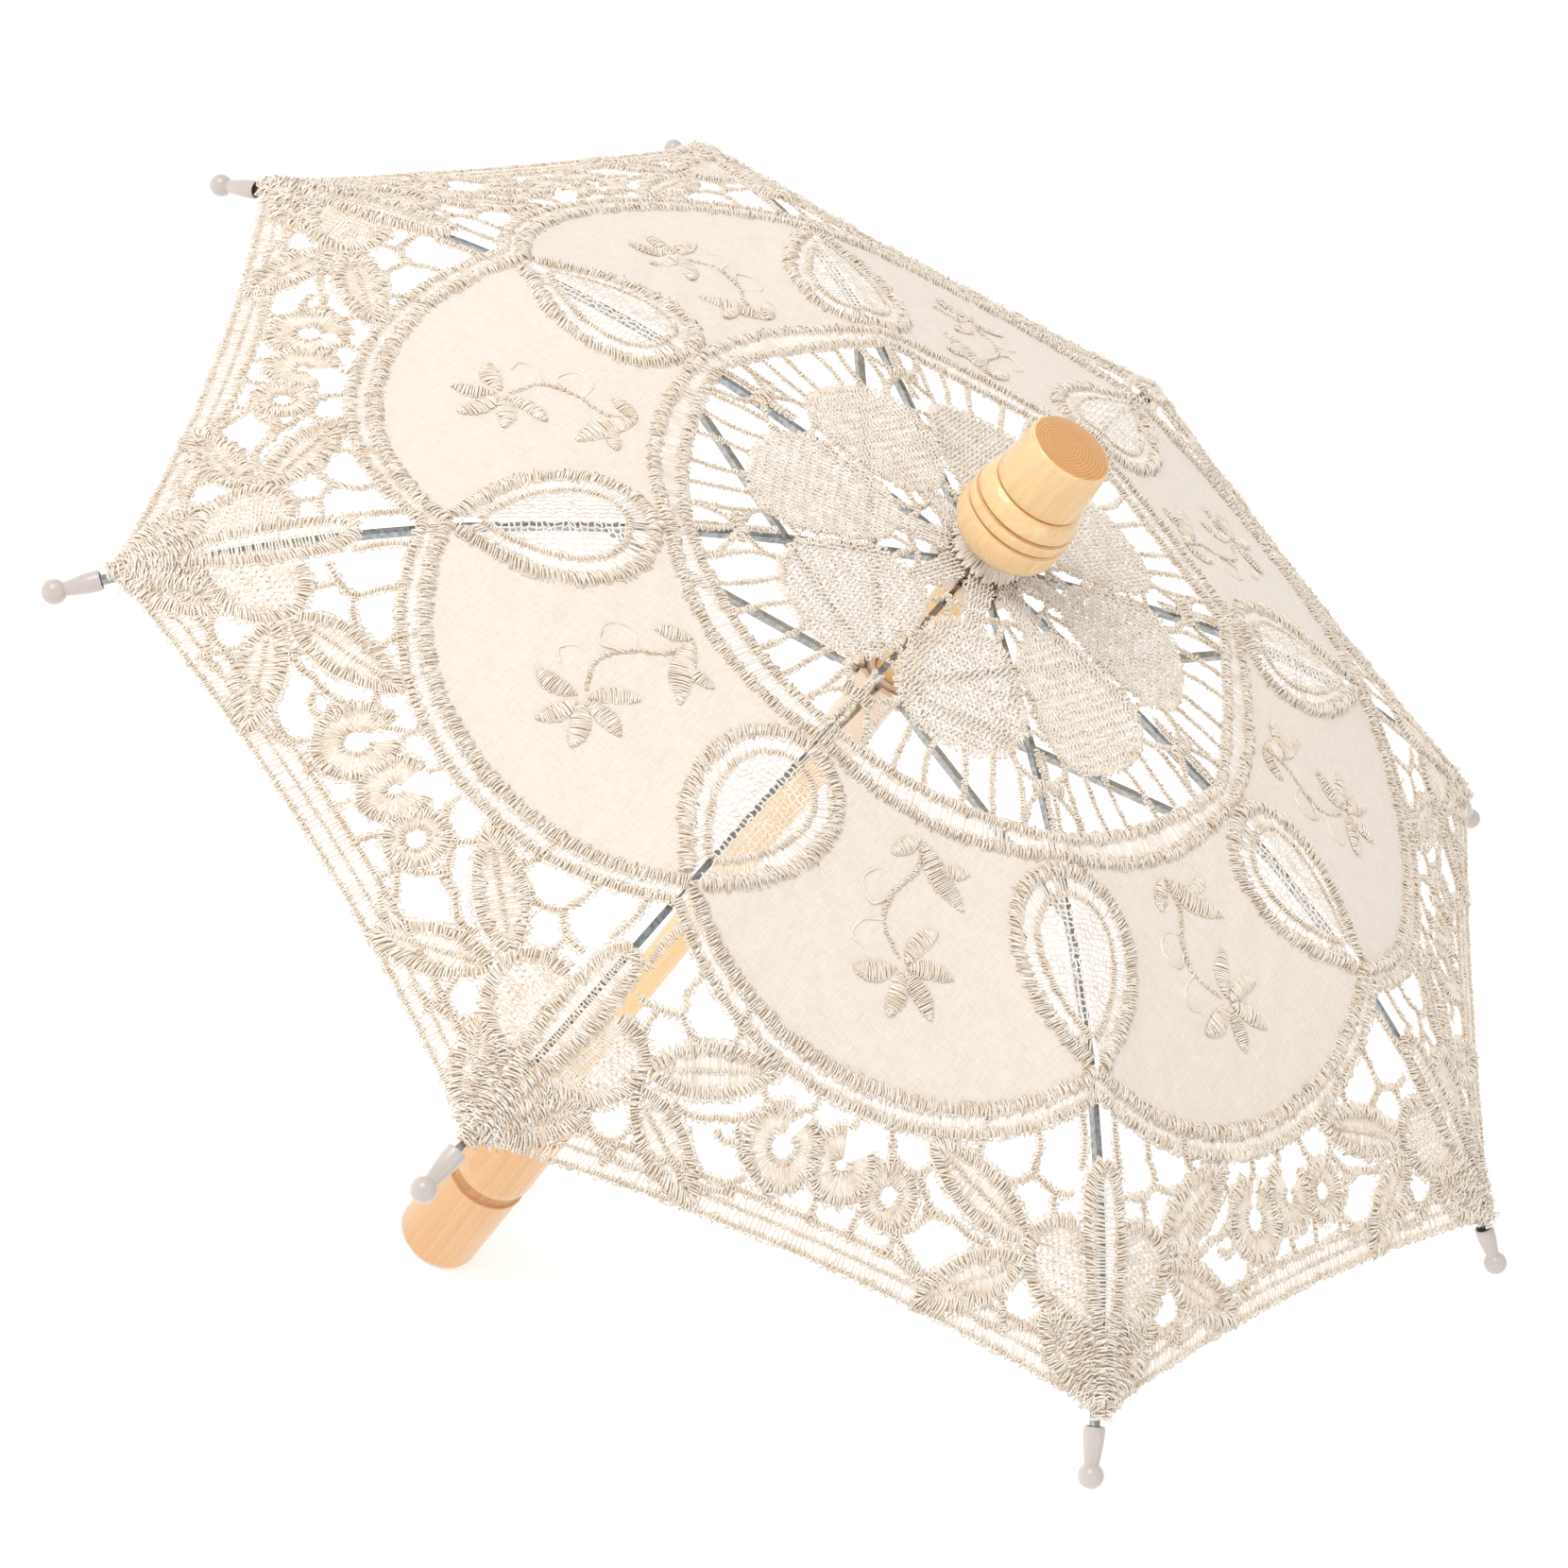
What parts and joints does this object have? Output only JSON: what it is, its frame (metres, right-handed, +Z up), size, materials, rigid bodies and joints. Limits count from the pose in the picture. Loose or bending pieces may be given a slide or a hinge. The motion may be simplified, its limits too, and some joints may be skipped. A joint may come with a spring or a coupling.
{
  "type": "lace parasol",
  "caption": "Small decorative lace parasol, open: turned wooden grip and finial, sliding runner, hinged steel ribs with stretchers, ball tips and a scalloped cotton lace canopy",
  "frame": {"origin": "centre of the flat end of the grip, which faces -Z", "axes": "+Z runs up the shaft from the grip to the finial; the ribs lie at every 45 degrees from +X, and -Y is the way the pictured side's nearest rib points"},
  "size_m": [0.3852, 0.3852, 0.3202],
  "materials": {
    "varnished_wood": "varnished, satin gloss",
    "rib_steel": "bright drawn steel",
    "stretcher_steel": "dull drawn steel",
    "cream_plastic": "moulded, satin",
    "grey_plastic": "moulded, glossy",
    "cotton_lace": "ecru cotton cloth and tape lace"
  },
  "bodies": {
    "stick": {"shaft": "varnished_wood", "grip": "varnished_wood", "finial": "varnished_wood", "crown": "cream_plastic", "crown_wire": "rib_steel", "canopy_collar": "cotton_lace"},
    "runner": {"runner": "cream_plastic", "runner_wire": "rib_steel"},
    "arm_1": {"rib_1": "rib_steel", "rivet_1": "rib_steel", "tip_1": "grey_plastic"},
    "strut_1": {"stretcher_1": "stretcher_steel"},
    "panel_1_left": {"canopy_1_left": "cotton_lace"},
    "panel_1_right": {"canopy_1_right": "cotton_lace"},
    "arm_2": {"rib_2": "rib_steel", "rivet_2": "rib_steel", "tip_2": "grey_plastic"},
    "strut_2": {"stretcher_2": "stretcher_steel"},
    "panel_2_left": {"canopy_2_left": "cotton_lace"},
    "panel_2_right": {"canopy_2_right": "cotton_lace"},
    "arm_3": {"rib_3": "rib_steel", "rivet_3": "rib_steel", "tip_3": "grey_plastic"},
    "strut_3": {"stretcher_3": "stretcher_steel"},
    "panel_3_left": {"canopy_3_left": "cotton_lace"},
    "panel_3_right": {"canopy_3_right": "cotton_lace"},
    "arm_4": {"rib_4": "rib_steel", "rivet_4": "rib_steel", "tip_4": "grey_plastic"},
    "strut_4": {"stretcher_4": "stretcher_steel"},
    "panel_4_left": {"canopy_4_left": "cotton_lace"},
    "panel_4_right": {"canopy_4_right": "cotton_lace"},
    "arm_5": {"rib_5": "rib_steel", "rivet_5": "rib_steel", "tip_5": "grey_plastic"},
    "strut_5": {"stretcher_5": "stretcher_steel"},
    "panel_5_left": {"canopy_5_left": "cotton_lace"},
    "panel_5_right": {"canopy_5_right": "cotton_lace"},
    "arm_6": {"rib_6": "rib_steel", "rivet_6": "rib_steel", "tip_6": "grey_plastic"},
    "strut_6": {"stretcher_6": "stretcher_steel"},
    "panel_6_left": {"canopy_6_left": "cotton_lace"},
    "panel_6_right": {"canopy_6_right": "cotton_lace"},
    "arm_7": {"rib_7": "rib_steel", "rivet_7": "rib_steel", "tip_7": "grey_plastic"},
    "strut_7": {"stretcher_7": "stretcher_steel"},
    "panel_7_left": {"canopy_7_left": "cotton_lace"},
    "panel_7_right": {"canopy_7_right": "cotton_lace"},
    "arm_8": {"rib_8": "rib_steel", "rivet_8": "rib_steel", "tip_8": "grey_plastic"},
    "strut_8": {"stretcher_8": "stretcher_steel"},
    "panel_8_left": {"canopy_8_left": "cotton_lace"},
    "panel_8_right": {"canopy_8_right": "cotton_lace"}
  },
  "joints": [
    {"name": "runner_slide", "type": "slide", "parent": "stick", "child": "runner", "axis": [0, 0, -1], "range_m": [0, 0.1247]},
    {"name": "rib_hinge_1", "type": "hinge", "parent": "stick", "child": "arm_1", "pos_m": [0.0085, 0, 0.28134], "axis": [0, 1, 0], "range_deg": [0, 72.23]},
    {"name": "stretcher_hinge_1", "type": "hinge", "parent": "arm_1", "child": "strut_1", "pos_m": [0.0884, 0, 0.27187], "axis": [0, 1, 0], "range_deg": [-131.66, 0]},
    {"name": "fold_1_left", "type": "hinge", "parent": "arm_1", "child": "panel_1_left", "pos_m": [0.0085, 0, 0.2867], "axis": [0.8825, 0, -0.4703], "range_deg": [0, 49.05], "deforming": ["canopy_1_left"]},
    {"name": "fold_1_right", "type": "hinge", "parent": "arm_1", "child": "panel_1_right", "pos_m": [0.0085, 0, 0.2867], "axis": [0.8825, 0, -0.4703], "range_deg": [-49.05, 0], "deforming": ["canopy_1_right"]},
    {"name": "rib_hinge_2", "type": "hinge", "parent": "stick", "child": "arm_2", "pos_m": [0.00601, 0.00601, 0.28134], "axis": [-0.7071, 0.7071, 0], "range_deg": [0, 72.23]},
    {"name": "stretcher_hinge_2", "type": "hinge", "parent": "arm_2", "child": "strut_2", "pos_m": [0.06251, 0.06251, 0.27187], "axis": [-0.7071, 0.7071, 0], "range_deg": [-131.66, 0]},
    {"name": "fold_2_left", "type": "hinge", "parent": "arm_2", "child": "panel_2_left", "pos_m": [0.00601, 0.00601, 0.2867], "axis": [0.624, 0.624, -0.4703], "range_deg": [0, 49.05], "deforming": ["canopy_2_left"]},
    {"name": "fold_2_right", "type": "hinge", "parent": "arm_2", "child": "panel_2_right", "pos_m": [0.00601, 0.00601, 0.2867], "axis": [0.624, 0.624, -0.4703], "range_deg": [-49.05, 0], "deforming": ["canopy_2_right"]},
    {"name": "rib_hinge_3", "type": "hinge", "parent": "stick", "child": "arm_3", "pos_m": [0, 0.0085, 0.28134], "axis": [-1, 0, 0], "range_deg": [0, 72.23]},
    {"name": "stretcher_hinge_3", "type": "hinge", "parent": "arm_3", "child": "strut_3", "pos_m": [0, 0.0884, 0.27187], "axis": [-1, 0, 0], "range_deg": [-131.66, 0]},
    {"name": "fold_3_left", "type": "hinge", "parent": "arm_3", "child": "panel_3_left", "pos_m": [0, 0.0085, 0.2867], "axis": [0, 0.8825, -0.4703], "range_deg": [0, 49.05], "deforming": ["canopy_3_left"]},
    {"name": "fold_3_right", "type": "hinge", "parent": "arm_3", "child": "panel_3_right", "pos_m": [0, 0.0085, 0.2867], "axis": [0, 0.8825, -0.4703], "range_deg": [-49.05, 0], "deforming": ["canopy_3_right"]},
    {"name": "rib_hinge_4", "type": "hinge", "parent": "stick", "child": "arm_4", "pos_m": [-0.00601, 0.00601, 0.28134], "axis": [-0.7071, -0.7071, 0], "range_deg": [0, 72.23]},
    {"name": "stretcher_hinge_4", "type": "hinge", "parent": "arm_4", "child": "strut_4", "pos_m": [-0.06251, 0.06251, 0.27187], "axis": [-0.7071, -0.7071, 0], "range_deg": [-131.66, 0]},
    {"name": "fold_4_left", "type": "hinge", "parent": "arm_4", "child": "panel_4_left", "pos_m": [-0.00601, 0.00601, 0.2867], "axis": [-0.624, 0.624, -0.4703], "range_deg": [0, 49.05], "deforming": ["canopy_4_left"]},
    {"name": "fold_4_right", "type": "hinge", "parent": "arm_4", "child": "panel_4_right", "pos_m": [-0.00601, 0.00601, 0.2867], "axis": [-0.624, 0.624, -0.4703], "range_deg": [-49.05, 0], "deforming": ["canopy_4_right"]},
    {"name": "rib_hinge_5", "type": "hinge", "parent": "stick", "child": "arm_5", "pos_m": [-0.0085, 0, 0.28134], "axis": [0, -1, 0], "range_deg": [0, 72.23]},
    {"name": "stretcher_hinge_5", "type": "hinge", "parent": "arm_5", "child": "strut_5", "pos_m": [-0.0884, 0, 0.27187], "axis": [0, -1, 0], "range_deg": [-131.66, 0]},
    {"name": "fold_5_left", "type": "hinge", "parent": "arm_5", "child": "panel_5_left", "pos_m": [-0.0085, 0, 0.2867], "axis": [-0.8825, 0, -0.4703], "range_deg": [0, 49.05], "deforming": ["canopy_5_left"]},
    {"name": "fold_5_right", "type": "hinge", "parent": "arm_5", "child": "panel_5_right", "pos_m": [-0.0085, 0, 0.2867], "axis": [-0.8825, 0, -0.4703], "range_deg": [-49.05, 0], "deforming": ["canopy_5_right"]},
    {"name": "rib_hinge_6", "type": "hinge", "parent": "stick", "child": "arm_6", "pos_m": [-0.00601, -0.00601, 0.28134], "axis": [0.7071, -0.7071, 0], "range_deg": [0, 72.23]},
    {"name": "stretcher_hinge_6", "type": "hinge", "parent": "arm_6", "child": "strut_6", "pos_m": [-0.06251, -0.06251, 0.27187], "axis": [0.7071, -0.7071, 0], "range_deg": [-131.66, 0]},
    {"name": "fold_6_left", "type": "hinge", "parent": "arm_6", "child": "panel_6_left", "pos_m": [-0.00601, -0.00601, 0.2867], "axis": [-0.624, -0.624, -0.4703], "range_deg": [0, 49.05], "deforming": ["canopy_6_left"]},
    {"name": "fold_6_right", "type": "hinge", "parent": "arm_6", "child": "panel_6_right", "pos_m": [-0.00601, -0.00601, 0.2867], "axis": [-0.624, -0.624, -0.4703], "range_deg": [-49.05, 0], "deforming": ["canopy_6_right"]},
    {"name": "rib_hinge_7", "type": "hinge", "parent": "stick", "child": "arm_7", "pos_m": [0, -0.0085, 0.28134], "axis": [1, 0, 0], "range_deg": [0, 72.23]},
    {"name": "stretcher_hinge_7", "type": "hinge", "parent": "arm_7", "child": "strut_7", "pos_m": [0, -0.0884, 0.27187], "axis": [1, 0, 0], "range_deg": [-131.66, 0]},
    {"name": "fold_7_left", "type": "hinge", "parent": "arm_7", "child": "panel_7_left", "pos_m": [0, -0.0085, 0.2867], "axis": [0, -0.8825, -0.4703], "range_deg": [0, 49.05], "deforming": ["canopy_7_left"]},
    {"name": "fold_7_right", "type": "hinge", "parent": "arm_7", "child": "panel_7_right", "pos_m": [0, -0.0085, 0.2867], "axis": [0, -0.8825, -0.4703], "range_deg": [-49.05, 0], "deforming": ["canopy_7_right"]},
    {"name": "rib_hinge_8", "type": "hinge", "parent": "stick", "child": "arm_8", "pos_m": [0.00601, -0.00601, 0.28134], "axis": [0.7071, 0.7071, 0], "range_deg": [0, 72.23]},
    {"name": "stretcher_hinge_8", "type": "hinge", "parent": "arm_8", "child": "strut_8", "pos_m": [0.06251, -0.06251, 0.27187], "axis": [0.7071, 0.7071, 0], "range_deg": [-131.66, 0]},
    {"name": "fold_8_left", "type": "hinge", "parent": "arm_8", "child": "panel_8_left", "pos_m": [0.00601, -0.00601, 0.2867], "axis": [0.624, -0.624, -0.4703], "range_deg": [0, 49.05], "deforming": ["canopy_8_left"]},
    {"name": "fold_8_right", "type": "hinge", "parent": "arm_8", "child": "panel_8_right", "pos_m": [0.00601, -0.00601, 0.2867], "axis": [0.624, -0.624, -0.4703], "range_deg": [-49.05, 0], "deforming": ["canopy_8_right"]}
  ],
  "couplings": [
    {"joint": "rib_hinge_1", "follows": "runner_slide", "rad_per_m": 10.103},
    {"joint": "stretcher_hinge_1", "follows": "runner_slide", "rad_per_m": -18.42},
    {"joint": "fold_1_left", "follows": "runner_slide", "rad_per_m": 6.8582},
    {"joint": "fold_1_right", "follows": "runner_slide", "rad_per_m": -6.8582},
    {"joint": "rib_hinge_2", "follows": "runner_slide", "rad_per_m": 10.103},
    {"joint": "stretcher_hinge_2", "follows": "runner_slide", "rad_per_m": -18.42},
    {"joint": "fold_2_left", "follows": "runner_slide", "rad_per_m": 6.8582},
    {"joint": "fold_2_right", "follows": "runner_slide", "rad_per_m": -6.8582},
    {"joint": "rib_hinge_3", "follows": "runner_slide", "rad_per_m": 10.103},
    {"joint": "stretcher_hinge_3", "follows": "runner_slide", "rad_per_m": -18.42},
    {"joint": "fold_3_left", "follows": "runner_slide", "rad_per_m": 6.8582},
    {"joint": "fold_3_right", "follows": "runner_slide", "rad_per_m": -6.8582},
    {"joint": "rib_hinge_4", "follows": "runner_slide", "rad_per_m": 10.103},
    {"joint": "stretcher_hinge_4", "follows": "runner_slide", "rad_per_m": -18.42},
    {"joint": "fold_4_left", "follows": "runner_slide", "rad_per_m": 6.8582},
    {"joint": "fold_4_right", "follows": "runner_slide", "rad_per_m": -6.8582},
    {"joint": "rib_hinge_5", "follows": "runner_slide", "rad_per_m": 10.103},
    {"joint": "stretcher_hinge_5", "follows": "runner_slide", "rad_per_m": -18.42},
    {"joint": "fold_5_left", "follows": "runner_slide", "rad_per_m": 6.8582},
    {"joint": "fold_5_right", "follows": "runner_slide", "rad_per_m": -6.8582},
    {"joint": "rib_hinge_6", "follows": "runner_slide", "rad_per_m": 10.103},
    {"joint": "stretcher_hinge_6", "follows": "runner_slide", "rad_per_m": -18.42},
    {"joint": "fold_6_left", "follows": "runner_slide", "rad_per_m": 6.8582},
    {"joint": "fold_6_right", "follows": "runner_slide", "rad_per_m": -6.8582},
    {"joint": "rib_hinge_7", "follows": "runner_slide", "rad_per_m": 10.103},
    {"joint": "stretcher_hinge_7", "follows": "runner_slide", "rad_per_m": -18.42},
    {"joint": "fold_7_left", "follows": "runner_slide", "rad_per_m": 6.8582},
    {"joint": "fold_7_right", "follows": "runner_slide", "rad_per_m": -6.8582},
    {"joint": "rib_hinge_8", "follows": "runner_slide", "rad_per_m": 10.103},
    {"joint": "stretcher_hinge_8", "follows": "runner_slide", "rad_per_m": -18.42},
    {"joint": "fold_8_left", "follows": "runner_slide", "rad_per_m": 6.8582},
    {"joint": "fold_8_right", "follows": "runner_slide", "rad_per_m": -6.8582}
  ]
}
